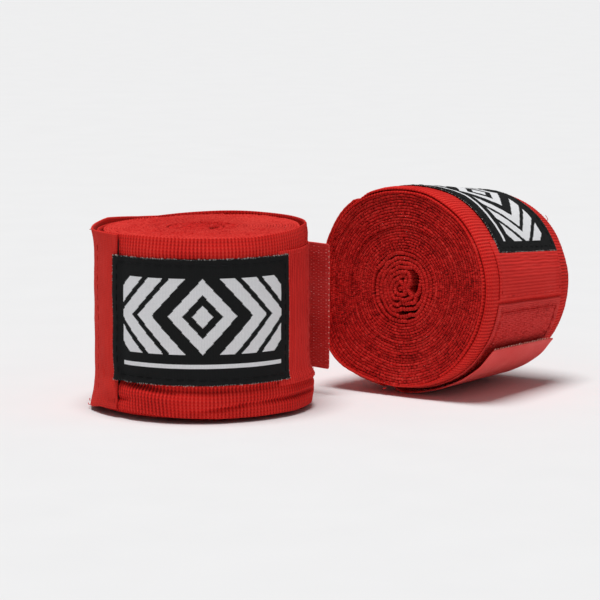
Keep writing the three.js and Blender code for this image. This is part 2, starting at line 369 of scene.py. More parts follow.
def across_rings(values, z):
    """One value for each ring, repeated for all its points."""
    return np.repeat(values[:, None], z.shape[1], axis=1)


def edge_steps(low, high, step, edge=0.5):
    """Values from low to high, closer together beside both ends."""
    fine = FINE_STEPS * edge
    count = max(2, int(round((high - low - 2 * edge) / step)) + 1)
    steps = np.linspace(low + 2 * edge, high - 2 * edge, count)
    return np.concatenate([low + fine, steps, high - fine[::-1]])


def rounding(distance, edge):
    """Share of the full thickness at a distance from a soft edge."""
    t = np.clip(distance / edge, 0, 1)
    return 0.3 + 0.7 * np.sqrt(1 - (1 - t) ** 2)


def plate(roll, name, angles, rows, middle, thickness, material, level=0.0, relief=None, shade=None,
          edge=0.4, sparse=3, start=None):
    """A sheet bent round the roll. middle gives its mid-surface radius and relief what is added outside.
    Its back has only one row in every few."""
    angle, z = np.meshgrid(angles, rows, indexing="ij")
    along, across = arc_mm(angle - (angles[0] if start is None else start)), z - rows[0]
    ends = np.minimum(arc_mm(angle - angles[0]), arc_mm(angles[-1] - angle))
    share = rounding(np.minimum(ends, np.minimum(across, rows[-1] - z)), edge)
    height = level(angle, z) if callable(level) else level + 0 * z
    bump = relief(angle, z, along, across) * share if relief else 0 * z
    tone = shade(angle, z, along, across) if shade else 0.5 + 0 * z
    centre, half = middle(angle, z), share * thickness / 2
    last = len(rows) - 1
    back = np.unique([0, 1, *range(2, last - 1, sparse), last - 1, last])[::-1]

    def loop(front, rear):
        return np.concatenate([front, rear[:, back]], axis=1)

    radius = loop(centre + half + bump, centre - half)
    points = polar(loop(angle, angle), radius, loop(z + height, z + height))
    return loft(roll, name, points, material, along=loop(along, along), across=loop(across, across),
                shade=loop(tone, tone))


def tube_rings(path, radius, sides, taper=0.35):
    """Rings of a thin thread along a path, thinner at both ends."""
    tangent = unit(np.gradient(path, axis=0))
    guide = np.eye(3)[np.argmin(np.abs(tangent).sum(axis=0))]
    first = unit(np.cross(tangent, guide))
    second = np.cross(tangent, first)
    size = np.full(len(path), radius)
    size[[0, -1]] *= taper
    turn = (np.arange(sides) * math.tau / sides)[None, :, None]
    around = np.cos(turn) * first[:, None] + np.sin(turn) * second[:, None]
    return path[:, None] + size[:, None, None] * around


def thread_bundle(roll, name, paths, radius=THREAD_RADIUS, material="sewing_thread", sides=5):
    """Many separate threads as one piece."""
    rng = np.random.default_rng(len(paths))
    points, faces, shades, start = [], [], [], 0
    for path in paths:
        rings = tube_rings(path, radius, sides)
        faces += skin_faces(rings, start)
        points.append(rings.reshape(-1, 3))
        shades.append(np.full(len(points[-1]), rng.uniform(0.2, 0.9)))
        start += len(points[-1])
    points = np.concatenate(points)
    return make_object(roll, name, points, faces, material, along=points[:, 0], across=points[:, 2],
                       shade=np.concatenate(shades))


# ------------------------------ materials
class Value:
    """A shader value that is worked with like a number."""

    def __init__(self, cloth, socket):
        self.cloth, self.socket = cloth, socket

    def __add__(self, other):
        return self.cloth.math("ADD", self, other)

    def __sub__(self, other):
        return self.cloth.math("SUBTRACT", self, other)

    def __mul__(self, other):
        return self.cloth.math("MULTIPLY", self, other)

    def __truediv__(self, other):
        return self.cloth.math("DIVIDE", self, other)

    def __lt__(self, other):
        return self.cloth.math("LESS_THAN", self, other)

    def __gt__(self, other):
        return self.cloth.math("GREATER_THAN", self, other)

    def __abs__(self):
        return self.cloth.math("ABSOLUTE", self)


class Cloth:
    """A node material with small helpers for its textures."""

    def __init__(self, name, roughness, sheen=0.0, sheen_tint=(1, 1, 1), specular=0.3):
        self.material = bpy.data.materials.new(name)
        self.material.use_nodes = True
        self.tree = self.material.node_tree
        self.shader = self.tree.nodes["Principled BSDF"]
        for label, value in {"Roughness": roughness, "Sheen Weight": sheen, "Sheen Roughness": 0.45,
                             "Sheen Tint": (*sheen_tint, 1), "Specular IOR Level": specular}.items():
            self.shader.inputs[label].default_value = value

    def node(self, kind, inputs, **settings):
        """A new node whose inputs, by name or number, are linked or set."""
        node = self.tree.nodes.new(f"ShaderNode{kind}")
        for label, value in settings.items():
            setattr(node, label, value)
        for label, value in inputs.items():
            self.put(node.inputs[label], value)
        return node

    def put(self, socket, value):
        if isinstance(value, Value):
            self.tree.links.new(value.socket, socket)
        else:
            socket.default_value = value

    def value(self, node, output=0):
        return Value(self, node.outputs[output])

    def math(self, operation, *values):
        return self.value(self.node("Math", dict(enumerate(values)), operation=operation))

    def attribute(self, name):
        return self.value(self.node("Attribute", {}, attribute_name=name), "Fac")

    def vector(self, x, y):
        return self.value(self.node("CombineXYZ", {"X": x, "Y": y}))

    def place(self):
        return self.value(self.node("TexCoord", {}), "Object")

    def noise(self, vector, scale, detail=2.0, roughness=0.5):
        inputs = {"Vector": vector, "Scale": scale, "Detail": detail, "Roughness": roughness}
        return self.value(self.node("TexNoise", inputs))

    def span(self, value, low, high):
        """0 at low and 1 at high."""
        return self.value(self.node("MapRange", {0: value, 1: low, 2: high}))

    def blend(self, share, a, b):
        return self.value(self.node("Mix", {0: share, 6: a, 7: b}, data_type="RGBA"), 2)

    def wave(self, value, period):
        """0 to 1 and back once a period, 1 on the ridge."""
        return self.span(self.math("COSINE", value * (math.tau / period)), -1.0, 1.0)

    def finish(self, colour, height=None, depth=0.0):
        """Sets the colour, and a relief of that depth in millimetres."""
        self.put(self.shader.inputs["Base Color"], colour)
        if height is not None:
            bump = self.node("Bump", {"Height": height, "Distance": depth * MM, "Strength": 1.0})
            self.put(self.shader.inputs["Normal"], self.value(bump))
        return self.material


def rgb(*levels):
    """Display levels of 0 to 255 to a scene colour."""
    linear = [(v / 255 + 0.055) / 1.055 for v in levels]
    return tuple(v ** 2.4 if v > 0.09 else v * 1.055 / 12.92 for v in linear) + (1,)


def knit(name, dark, base, light, rib, stitch, slant, depth, fuzz, roughness=0.9, sheen=0.06):
    """Ribbed or woven cloth: ridges along one way, slanted stitches across, fuzz and slow colour change. Its
    colour follows the relief, lighter on ridges and darker in valleys, which is painted shade.
    """
    cloth = Cloth(name, roughness, sheen, (1.0, 0.35, 0.3), specular=0.12)
    along, across, shade = (cloth.attribute(label) for label in ("along", "across", "shade"))
    flat = cloth.vector(along, across)
    along = along + cloth.noise(flat, 0.35, 1.0) * 0.25
    offset = abs(cloth.math("FRACT", along / rib) - 0.5)
    stitches = cloth.wave(across + offset * slant, stitch)
    fibre = cloth.noise(flat, 5.5, 3.0, 0.7)
    height = cloth.wave(along, rib) * 0.55 + stitches * 0.3 + fibre * fuzz
    slow = cloth.noise(cloth.place(), 70.0, 3.0)
    # Colour from the relief: lighter ridges and darker valleys are painted shade. The fibre speckle and the
    # slow change differ at random, and shade carries each piece's tone from the mesh, partly painted light
    # and shade.
    tone = height * 0.6 + shade * 0.5 + (slow - 0.5) * 0.5
    low = cloth.blend(cloth.span(tone, 0.15, 0.62), rgb(*dark), rgb(*base))
    return cloth.finish(cloth.blend(cloth.span(tone, 0.62, 1.15), low, rgb(*light)), height, depth)


# The label's motif in millimetres: a diamond at its middle, chevrons on both sides and a bar below
MOTIF = {"cell": 0.3, "middle": 19.2, "half_height": 10.6, "half_diamond": 9.4, "chevron_pitch": 6.1,
         "last_chevron": 30.5, "half_length": 23.5, "bar": 5.2, "half_bar": 0.65}


def label_cloth(name):
    """Satin black weave with a woven pale motif: a diamond between chevrons over a plain bar."""
    cloth = Cloth(name, 0.7, specular=0.15)
    along, across = cloth.attribute("along"), cloth.attribute("across")

    def woven(value):
        """The start of a value's woven cell, which steps the motif's edges."""
        return cloth.math("FLOOR", value / MOTIF["cell"]) * MOTIF["cell"]

    x = abs(woven(along) - LABEL.length / 2)
    y = abs(woven(across) - MOTIF["middle"]) / MOTIF["half_height"]
    reach = x / MOTIF["half_diamond"] + y
    slide = x + y * MOTIF["half_diamond"]
    pitch = MOTIF["chevron_pitch"]
    within = x < MOTIF["half_length"]
    stripe = (cloth.math("FRACT", slide / pitch) > 0.3) * (slide > 2 * pitch)
    stripe = stripe * (slide < MOTIF["last_chevron"]) * (y < 1.0) * within
    bar = (abs(woven(across) - MOTIF["bar"]) < MOTIF["half_bar"]) * within
    pale = (reach < 1.0) * (reach > 0.58)
    for part in (reach < 0.3, stripe, bar):
        pale = cloth.math("MAXIMUM", pale, part)
    fibre = cloth.noise(cloth.vector(along, across), 4.0, 3.0, 0.65)
    height = cloth.wave(along, 0.42) * cloth.wave(across, 0.36) * 0.5 + fibre * 0.5 + pale * 0.5
    ground = cloth.blend(cloth.span(height, 0.1, 0.9), rgb(8, 9, 10), rgb(27, 29, 30))
    white = cloth.blend(cloth.span(height, 0.45, 1.0), rgb(205, 207, 211), rgb(250, 250, 252))
    return cloth.finish(cloth.blend(pale, ground, white), height, 0.12)


# Each cloth's dark, base and light levels, the pitch of its ribs and stitches and the stitches' slant,
# the depth of its relief in millimetres and its fuzz, and if they aren't the usual, roughness and sheen
CLOTHS = {
    "ribbed_band": ((120, 8, 8), (222, 32, 28), (240, 72, 62), RIB_PITCH, 0.9, 0.9, 0.16, 0.5),
    "ribbed_band_edge": ((110, 7, 7), (206, 28, 26), (236, 66, 58), RIB_PITCH / 2, 0.9, 0.9, 0.16, 0.9),
    "strap_weave": ((96, 8, 9), (216, 42, 36), (234, 70, 60), 0.62, 0.5, 0.5, 0.07, 0.6),
    "backing_weave": ((150, 18, 18), (224, 44, 40), (240, 76, 68), 0.95, 0.4, 0.1, 0.08, 0.4),
    "loop_pile": ((112, 9, 10), (208, 32, 31), (236, 74, 70), 0.6, 0.5, 0.6, 0.16, 1.4, 1.0, 0.04),
    "hook_tape": ((160, 20, 22), (232, 60, 58), (248, 132, 126), 0.5, 0.8, 1.2, 0.06, 0.5, 0.6),
    # Hooks: red plastic, with a pale light level that some hooks reach at random, as painted glints.
    "hook_plastic_and_painted_glints": ((176, 20, 22), (250, 84, 78), (255, 212, 206), 2.0, 2.0, 0.2, 0.02, 0.3, 0.38),
    # Hook tips: the pale colour is a painted highlight, the light they catch.
    "hook_tip_painted_glints": ((240, 130, 110), (255, 200, 182), (255, 240, 232), 2.0, 2.0, 0.2, 0.02, 0.3, 0.35),
    "sewing_thread": ((130, 12, 12), (216, 42, 38), (240, 90, 80), 0.3, 0.4, 0.5, 0.05, 0.3, 0.7),
    "label_thread": ((3, 3, 4), (14, 15, 16), (44, 46, 48), 0.3, 0.4, 0.5, 0.05, 0.3, 0.7, 0.0),
    "label_fray": ((90, 86, 82), (190, 184, 178), (240, 236, 230), 0.3, 0.4, 0.5, 0.03, 0.3, 0.8, 0.0),
}
MATERIALS = {name: knit(name, *recipe) for name, recipe in CLOTHS.items()}
MATERIALS["label_weave"] = label_cloth("label_weave")


# ------------------------------ band
def make_outer_turn(roll):
    """The first turn and a half of the band, where its ribs show. Its rows are closer at both hems."""
    steps = int(arc_mm(COIL_FROM - BAND_END) / RIB_PITCH * RIB_STEPS)
    angles = np.linspace(BAND_END, COIL_FROM, steps)
    fine = len(FINE_STEPS)
    far_hem = BAND_WIDTH - HEM / 2
    rows = np.concatenate([edge_steps(0, HEM, 0.55)[:-fine], np.arange(HEM, far_hem, 2.0),
                           edge_steps(far_hem, BAND_WIDTH, 0.7)[fine - 1:]])

    def middle(angle, z):
        tight = 1 - (1 - roll.squeeze) * smooth(angle, BAND_END + 300, COIL_FROM)
        folds = roll.swell(angle, z) + roll.creased(angle, z)
        return roll.band(angle) * tight - SETBACK - roll.sink(angle) + folds

    def ribs(angle, along, across):
        """Uneven ribs, flatter where the pieces on top are sewn through."""
        wander = 0.22 * roll.noise(1, 22, along, across) + 0.05 * roll.noise(14, 3, along, across)
        depth = (1 + 0.4 * roll.noise(15, 5, along, across)) * (1 - 0.6 * hump(angle, 345, 22))
        return depth * np.cos((along + wander) * math.tau / RIB_PITCH)

    def relief(angle, z, along, across):
        return 0.06 * ribs(angle, along, across) + 0.04 * roll.noise(2, 1.6, along, across)

    def shade(angle, z, along, across):
        # Painted light and shade: lighter on the rib crests, darker in the rib valleys and darker still
        # where the creases fold in.
        return 0.5 + 0.22 * ribs(angle, along, across) + 0.55 * np.minimum(roll.creased(angle, z), 0)

    return plate(roll, "band_outer_turn", angles, rows, middle, DRAWN["band"], "ribbed_band",
                 roll.turn_level, relief, shade)


def make_coil(roll):
    """The tight turns between the outer turn and the core, whose edges show as the roll's end faces."""
    rng = roll.dice(0)
    fine = np.arange(COIL_FROM, SHOWN_CORE, 0.5)
    radius = roll.band(fine) * roll.squeeze
    length = np.concatenate([[0], np.cumsum(radius[:-1] * math.radians(0.5))])
    steps = rng.uniform(0.75, 1.25, int(length[-1] / RIB_PITCH * 2.2)) * RIB_PITCH / 2
    station = np.cumsum(steps)
    station = station[station < length[-1]]
    count = len(station)
    angle = np.interp(station, length, fine)
    radius = np.interp(station, length, radius)
    ridge = np.where(np.arange(count) % 2 == 0, 1.0, -1.0) * rng.uniform(0.55, 1.25, count)
    x, y = radius * np.cos(np.radians(angle)), radius * np.sin(np.radians(angle))
    radius = radius * (1 + 0.011 * roll.noise(3, 26, x, y)) + rng.normal(0, 0.02, count)
    half = 0.385 + 0.05 * ridge + rng.normal(0, 0.03, count)

    def uneven_end(side):
        slow = 0.35 * roll.noise(4 + side, 90, station) + 0.4 * roll.noise(6 + side, 5.5, radius)
        return slow + 0.3 * roll.noise(8 + side, 7, x, y) + 0.2 * ridge + rng.normal(0, 0.13, count)

    near, far = uneven_end(0), uneven_end(1)
    slip = roll.lift(angle)
    low = 0.04 + 0.7 * np.abs(near) + slip + roll.hollow(angle, radius)
    high = BAND_WIDTH - 0.5 * np.abs(far) + 0.25 * np.clip(far, 0, 1) + roll.top(angle, radius) + slip
    depth, rim = COIL_RIM["depth"], half * COIL_RIM["share"]
    section = np.stack([half, rim, -rim, -half], axis=1)
    section = np.concatenate([section, section[:, ::-1]], axis=1)
    z = np.stack([high - depth, high, high, high - depth, low + depth, low, low, low + depth], axis=1)
    arcs = 0.4 * np.clip(roll.noise(9, 70, station), 0, 1) - 0.25 * np.clip(roll.noise(10, 9, x, y), 0, 1)
    # Colour of each turn: lighter on ridge stations, which stand out, and darker on valley ones, as painted
    # light and shade on the relief. The arcs and the rest differ at random.
    tone = across_rings(0.36 + arcs + 0.22 * ridge + rng.normal(0, 0.26, count), z)
    # Painted shade: the sides of each turn, below its rims, are darker where the grooves between turns lie.
    tone[:, [0, 3, 4, 7]] -= 0.15
    # Painted light: the far-end rims are lighter, as the lit top face of the standing roll.
    tone[:, [1, 2]] += 0.46
    rings = polar(angle[:, None] + 0 * z, radius[:, None] + section, z)
    return loft(roll, "band_coil", rings, "ribbed_band_edge", along=across_rings(station, z), across=z,
                shade=tone)


# Centre line of the folded inner end of the band, which core_path turns to meet the coil's last turn
CORE_FOLD = [
    (-7.45, 4.3), (-2.9, 8.05), (2.9, 7.8), (6.6, 4.8), (7.9, 0.1), (6.5, -4.6), (2.8, -7.6), (-2.7, -7.5),
    (-6.4, -4.2), (-7.35, 0), (-6.2, 3.7), (-2.5, 6.9), (2.5, 6.8), (5.7, 4.1), (6.9, 0.1), (5.7, -3.9),
    (3.8, -6.1), (2.2, -6.15), (0.6, -6.75), (-2.6, -6.2), (-5.4, -3.4), (-6.3, 0), (-5.3, 3.1),
    (-2.2, 5.8), (1.9, 5.9), (4.6, 4.3), (5.85, 1.2), (5.7, -1.4), (4.6, -3.6), (2.6, -4.6), (0.4, -4.9),
    (-2.4, -5.2), (-4.5, -2.9), (-5.3, 0), (-4.4, 2.6), (-1.9, 4.7), (1.0, 5.0), (3.5, 4.7), (4.7, 2.9),
    (4.75, 0.7), (4.1, -1.3), (3.3, -2.9), (1.4, -3.7), (-0.6, -3.6), (-1.7, -4.1), (-3.4, -3.1),
    (-4.3, -0.6), (-4.2, 1.0), (-3.2, 2.6), (-1.3, 3.7), (0.7, 4.0), (1.65, 3.3), (1.75, 1.8), (1.3, 0.2),
    (1.9, -1.0), (2.4, -1.9), (1.2, -2.7), (-0.6, -2.5), (-2.2, -2.6), (-3.3, -1.2), (-3.2, 0.6),
    (-2.3, 2.0), (-0.8, 2.7), (0.6, 2.8), (0.75, 1.6), (0.3, 0.2), (0.6, -1.2), (-0.6, -1.5), (-1.9, -1.4),
    (-2.3, -0.2), (-1.8, 0.9), (-0.6, 1.6), (-0.3, 0.7), (-0.8, -0.3), (-1.2, 0.1),
]


def spline(points, step):
    """A smooth curve through points, resampled evenly, and the length up to each of its points."""
    padded = np.concatenate([[2 * points[0] - points[1]], points, [2 * points[-1] - points[-2]]])
    t = np.linspace(0, 1, 24, endpoint=False)[:, None]
    parts = []
    for a, b, c, d in zip(padded, padded[1:], padded[2:], padded[3:]):
        square, cube = 2 * a - 5 * b + 4 * c - d, 3 * b - a - 3 * c + d
        parts.append(0.5 * (2 * b + (c - a) * t + square * t ** 2 + cube * t ** 3))
    path = np.concatenate([*parts, points[-1:]])
    length = travel(path)
    even = np.arange(0, length[-1], step)
    return np.stack([np.interp(even, length, path[:, k]) for k in (0, 1)], axis=1), even


def core_path(roll, step):
    """The folded end in the roll frame: the first point meets the coil's last turn."""
    points = np.array(CORE_FOLD) * (1, -1)
    radius = float(roll.band(SHOWN_CORE)) * roll.squeeze
    turn = math.radians(SHOWN_CORE) - math.atan2(points[0, 1], points[0, 0])
    spin = np.array([[math.cos(turn), math.sin(turn)], [-math.sin(turn), math.cos(turn)]])
    return spline(points @ spin * (radius / np.hypot(*points[0])), step)


def side_of(path):
    tangent = unit(np.gradient(path, axis=0))
    return np.stack([tangent[:, 1], -tangent[:, 0]], axis=1)


def make_core(roll):
    """The loosely folded inner end, one wall whose two rims are thicker than its middle."""
    rng = roll.dice(40)
    path, station = core_path(roll, RIB_PITCH / 4)
    normal = side_of(path)
    path = path + normal * (0.2 * roll.noise(42, 3.4, station) * smooth(station, 20, 60))[:, None]
    wave = np.cos(station * math.tau / RIB_PITCH)
    heights = np.array([0.1, 0.4, 1.4, 4, 9, 25, 41, 46, 48.6, 49.6, 49.9])
    share = np.array([0.62, 0.95, 1, 0.95, 0.6, 0.55, 0.6, 0.95, 1, 0.95, 0.62])
    uneven = 0.35 * roll.noise(41, 7, station) + 0.12 * wave + rng.normal(0, 0.04, len(station))
    z = np.concatenate([heights, heights[::-1]])[None, :]
    off_middle = z / (BAND_WIDTH / 2) - 1
    z = z - np.sign(off_middle) * off_middle ** 4 * np.abs(uneven)[:, None]
    z = z + roll.top(0, np.hypot(*path.T))[:, None] * smooth(z, BAND_WIDTH / 2, BAND_WIDTH)
    half = (0.58 + 0.07 * wave)[:, None] * np.concatenate([share, -share[::-1]])[None, :]
    flat = path[:, None] + normal[:, None] * half[:, :, None]
    rings = np.concatenate([flat, z[:, :, None]], axis=2)
    # Lighter on the rib crests and darker between them, as painted light and shade on the relief, plus tone
    # that differs at random.
    tone = across_rings(0.5 + 0.28 * wave + rng.normal(0, 0.15, len(station)), z)
    return loft(roll, "band_core", rings, "ribbed_band_edge", along=across_rings(station, z), across=z,
                shade=tone)


def make_thumb_loop(roll):
    """A flattened ring of narrow tape beside the first turn of the core."""
    count = 50
    step = LOOP_LENGTH / 2 / count
    path = core_path(roll, step)[0]
    inward = side_of(path)
    inward *= np.sign(np.sum(inward[10] * -path[10]))
    path, inward = path[4:4 + count], inward[4:4 + count]
    rows = edge_steps(0, LOOP_WIDTH, 2.5) + (BAND_WIDTH - LOOP_WIDTH) / 2
    z = np.concatenate([rows, rows[::-1]])[None, :] + np.zeros((2 * count, 1))

    def layer(near, far):
        offsets = np.repeat([near, far], len(rows))
        return path[:, None] + inward[:, None] * offsets[None, :, None]

    flat = np.concatenate([layer(0.3, 0.47), layer(0.53, 0.7)[::-1]])
    rings = np.concatenate([flat, z[:, :, None]], axis=2)
    along = across_rings(np.arange(2 * count) * step, z)
    return loft(roll, "thumb_loop", rings, "strap_weave", along=along, across=z, shade=0.5 + 0 * z)


# ------------------------------ sewn pieces
def make_strap(roll):
    """The closing strap, which droops beside the tape under it and presses into the roll at its end."""
    def middle(angle, z):
        off_tape = smooth(np.abs(z - BAND_WIDTH / 2), TAPE.height / 2, TAPE.height / 2 + 4.5)
        droop = STRAP_DROOP * off_tape * (1 - smooth(angle, *STRAP_RISE))
        sunk = STRAP_SINK * smooth(angle, *STRAP_STEP_DOWN) + roll.sink(angle)
        off_label = 1 - smooth(z, 8, 12) * (1 - smooth(z, 41, 45))
        lip = 0.1 * smooth(angle, STRAP.end - 2.2, STRAP.end) * off_label
        folds = roll.swell(angle, z) + roll.creased(angle, z)
        return roll.strap(angle) - droop - sunk - SETBACK + lip + folds

    def relief(angle, z, along, across):
        seam = 0.1 * hump(angle, 194, 3) - 0.07 * hump(angle, 197.4, 0.8)
        weave = 0.03 * np.cos(along * math.tau / 1.86) + 0.03 * roll.noise(12, 1.4, along, across)
        return weave + seam + 0.08 * roll.noise(13, 9, along, across)

    def shade(angle, z, along, across):
        # Painted shadow: the strap darkens over its last millimetre, a dark line where its edge shades the
        # band.
        return 0.5 - 0.3 * smooth(angle, STRAP.end - 1.1, STRAP.end - 0.3)

    return plate(roll, "closing_strap", STRAP.angles(0.9, edge=0.9), STRAP.rows(1.5), middle,
                 DRAWN["strap"], "strap_weave", roll.strap_level, relief, shade)


def label_radius(roll):
    """Radius function of the label, which steps down from the strap's end to the band."""
    high = BAND_THICKNESS / 2 + CLEARANCE + STRAP.thickness + 0.31
    flat = BAND_THICKNESS / 2 + 0.35

    def radius(angle, z):
        over = mix(high, flat, smooth(angle, STRAP.end + 0.3, STRAP.end + 4))
        return roll.band(angle) + over - roll.sink(angle) + roll.swell(angle, z)

    return radius


def make_label(roll):
    def relief(angle, z, along, across):
        sewn = -0.09 * hump(LABEL.border(along, across), 1.7, 0.35)
        return sewn + 0.05 * roll.noise(20, 6, along, across) + 0.03 * roll.noise(21, 1.5, along, across)

    return plate(roll, "label", LABEL.angles(1.4), LABEL.rows(0.9), label_radius(roll), DRAWN["label"],
                 "label_weave", roll.level_of(LABEL), relief, sparse=2, edge=0.25)


def stitch_line(radius, start, end, level, length=2.0, gap=0.7, height=0.1):
    """Paths of stitches along a straight seam from start to end, each (angle, z)."""
    start, end = np.array(start, float), np.array(end, float)
    span = np.hypot(arc_mm(end[0] - start[0]), end[1] - start[1])
    count = max(1, int(span / (length + gap)))
    pause = gap / (length + gap) / 2
    t = np.linspace(pause, 1 - pause, 6)
    arch = height * np.sin(np.linspace(0, math.pi, 6)) - 0.06
    paths = []
    for k in range(count):
        angle, z = (start + (end - start) * ((k + t) / count)[:, None]).T
        paths.append(polar(angle, radius(angle, z) + arch, z + level))
    return paths


def stitch_frame(radius, start, end, low, level):
    """Stitches round a rectangle in the middle of the band's width."""
    high = BAND_WIDTH - low
    corners = [(start, low), (end, low), (end, high), (start, high)]
    paths = []
    for a, b in zip(corners, corners[1:] + corners[:1]):
        paths += stitch_line(radius, a, b, level, 2.2, 0.7, 0.12)
    return paths


def make_label_stitching(roll):
    """Stitches round the label, and thin dark wavy lines along the strap's end on both sides of it."""
    level = roll.level_of(LABEL)
    inset = 1.7
    low = LABEL.low + inset
    base = label_radius(roll)
    start, end = LABEL.start + arc_angle(inset), LABEL.end - arc_angle(inset)
    paths = stitch_frame(lambda angle, z: base(angle, z) + 0.17, start, end, low, level)
    rng = roll.dice(51)
    # Thin dark wavy lines down the strap's end, above and below the label.
    for top, bottom in ((BAND_WIDTH + 0.2, BAND_WIDTH - low - level + 1.6), (low + level - 1.8, 4.6)):
        z = np.linspace(top, bottom, 12)
        angle = STRAP.end + 0.5 + 0.9 * roll.noise(52, 9, z) + rng.normal(0, 0.12, 12)
        radius = roll.band(angle) + roll.swell(angle, z) + 0.42 - roll.sink(angle) * 0.6
        paths.append(polar(angle, radius, z + roll.end_shift))
    return thread_bundle(roll, "label_stitching", paths, material="label_thread")


def make_label_fray(roll):
    """Short pale thread ends along the cut edges of the label."""
    rng = roll.dice(50)
    level = roll.level_of(LABEL)
    base = label_radius(roll)
    paths = []
    for edge, sign in (("low", 1), ("high", -1), ("start", 1), ("end", -1)):
        lengthwise = edge in ("low", "high")
        count = int((LABEL.length if lengthwise else LABEL.height) / 0.5)
        for t in (np.arange(count) + rng.uniform(0.2, 0.8, count)) / count:
            out = rng.uniform(-0.1, 0.28)
            aslant = rng.uniform(-0.3, 0.3)
            inwards = sign * (out + 0.3)
            steps = np.array([0, 0.5, 1])
            if lengthwise:
                angle = mix(LABEL.start, LABEL.end, t) + arc_angle(aslant) * steps
                z = getattr(LABEL, edge) - sign * out + inwards * steps
            else:
                angle = getattr(LABEL, edge) - sign * arc_angle(out) + arc_angle(inwards) * steps
                z = mix(LABEL.low, LABEL.high, t) + aslant * steps
            radius = base(np.clip(angle, LABEL.start, LABEL.end), np.clip(z, LABEL.low, LABEL.high))
            rise = np.array([rng.uniform(-0.12, 0.12), rng.uniform(0.05, 0.18), 0.2])
            paths.append(polar(angle, radius + rise, z + level))
    return thread_bundle(roll, "label_fray", paths, 0.09, "label_fray", sides=4)


def make_backing(roll):
    """The tape between label and patch: it starts under the label and is puckered beside it."""
    base = roll.over(BAND_THICKNESS / 2 + 0.3)

    def middle(angle, z):
        return base(angle, z) - 0.18 * (1 - smooth(angle, LABEL.end - 1, LABEL.end + 1))

    def relief(angle, z, along, across):
        border = np.minimum(across, BACKING.height - across)
        line = 0.14 * hump(border, 2.0, 0.4) - 0.08 * hump(border, 3.0, 0.4)
        wander = along + 0.5 * roll.noise(31, 14, along, across)
        rib = 0.05 * np.cos(wander * math.tau / 1.9)
        pucker = 0.13 * np.cos(wander * math.tau / 1.3) * hump(angle, LABEL.end + 3.5, 3)
        shown = smooth(angle, LABEL.end, LABEL.end + 2)
        return shown * (line + rib + pucker * smooth(border, 1, 6)) + 0.02 * roll.noise(32, 2, along, across)

    return plate(roll, "backing_tape", BACKING.angles(0.55), BACKING.rows(1.0), middle,
                 DRAWN["backing"], "backing_weave", roll.level_of(PATCH), relief)


def make_backing_stitching(roll):
    level = roll.level_of(PATCH)
    radius = roll.over(BAND_THICKNESS / 2 + 0.52)
    first, last = LABEL.end + arc_angle(1.0), BACKING.end - arc_angle(1.0)
    low, high = BACKING.low + 1.1, BACKING.high - 1.1
    corners = [(first, low), (last, low), (last, high), (first, high)]
    paths = []
    for start, end in ((0, 1), (3, 2), (1, 2)):
        paths += stitch_line(radius, corners[start], corners[end], level)
    return thread_bundle(roll, "backing_tape_stitching", paths)


def make_patch(roll):
    """The fuzzy loop patch, with a groove where it is sewn down."""
    def relief(angle, z, along, across):
        border = PATCH.border(along, across)
        fuzz = 0.1 * roll.noise(33, 2.4, along, across) * smooth(border, 2, 4)
        return 0.1 * smooth(border, 2.8, 3.6) - 0.22 * hump(border, 2.4, 0.5) + fuzz

    def shade(angle, z, along, across):
        border = PATCH.border(along, across)
        pile = 0.6 * roll.noise(34, 1.0, along, across) * smooth(border, 2.4, 3.2)
        # Painted shade: darker along the sewn groove. The strip outside it is a little lighter, and the pile
        # is speckled at random.
        return 0.55 + 0.12 * (1 - smooth(border, 1.8, 2.6)) - 0.7 * hump(border, 2.5, 0.4) + pile

    return plate(roll, "loop_patch", PATCH.angles(0.7), PATCH.rows(0.5), roll.over(PATCH_BASE),
                 DRAWN["patch"], "loop_pile", roll.level_of(PATCH), relief, shade)


def make_patch_loops(roll, count=1100, inset=1.2):
    """Small nylon loops that stand up over the middle of the patch."""
    rng = roll.dice(60)
    level = roll.level_of(PATCH)
    radius = roll.over(PATCH_BASE + 0.22)
    t = np.linspace(-1, 1, 6)
    paths = []
    for _ in range(count):
        middle = rng.uniform(PATCH.start + arc_angle(inset), PATCH.end - arc_angle(inset))
        height = rng.uniform(PATCH.low + inset, PATCH.high - inset)
        turn, reach = rng.uniform(0, math.tau), rng.uniform(0.35, 0.7)
        angle = middle + arc_angle(reach) * t * math.cos(turn)
        z = height + reach * t * math.sin(turn)
        rise = rng.uniform(0.2, 0.32) * (1 - t ** 2) - 0.02
        paths.append(polar(angle, radius(angle, z) + rise, z + level))
    return thread_bundle(roll, "loop_patch_pile", paths, 0.05, "loop_pile", sides=3)


def make_patch_stitching(roll, inset=2.2):
    start, end = PATCH.start + arc_angle(inset), PATCH.end - arc_angle(inset)
    radius = roll.over(PATCH_BASE + 0.1)
    paths = stitch_frame(radius, start, end, PATCH.low + inset, roll.level_of(PATCH))
    return thread_bundle(roll, "loop_patch_stitching", paths)


def make_loose_threads(roll):
    """A few threads that have come free at the hems."""
    rng = roll.dice(53)
    t = np.linspace(0, 1, 9)
    paths = []
    for angle, z, reach in roll.loose:
        out = reach * t + 0.3 * np.sin(t * rng.uniform(3, 6))
        sway = rng.uniform(-3, 3) * t + 1.5 * np.sin(t * rng.uniform(3, 7))
        rise = float(roll.strap_level(angle, z)) + reach * rng.uniform(-0.6, 0.8) * t ** 2
        paths.append(polar(angle + sway, roll.over(0.2)(angle, z) + out, z + rise))
    return thread_bundle(roll, "loose_threads", paths, 0.11)


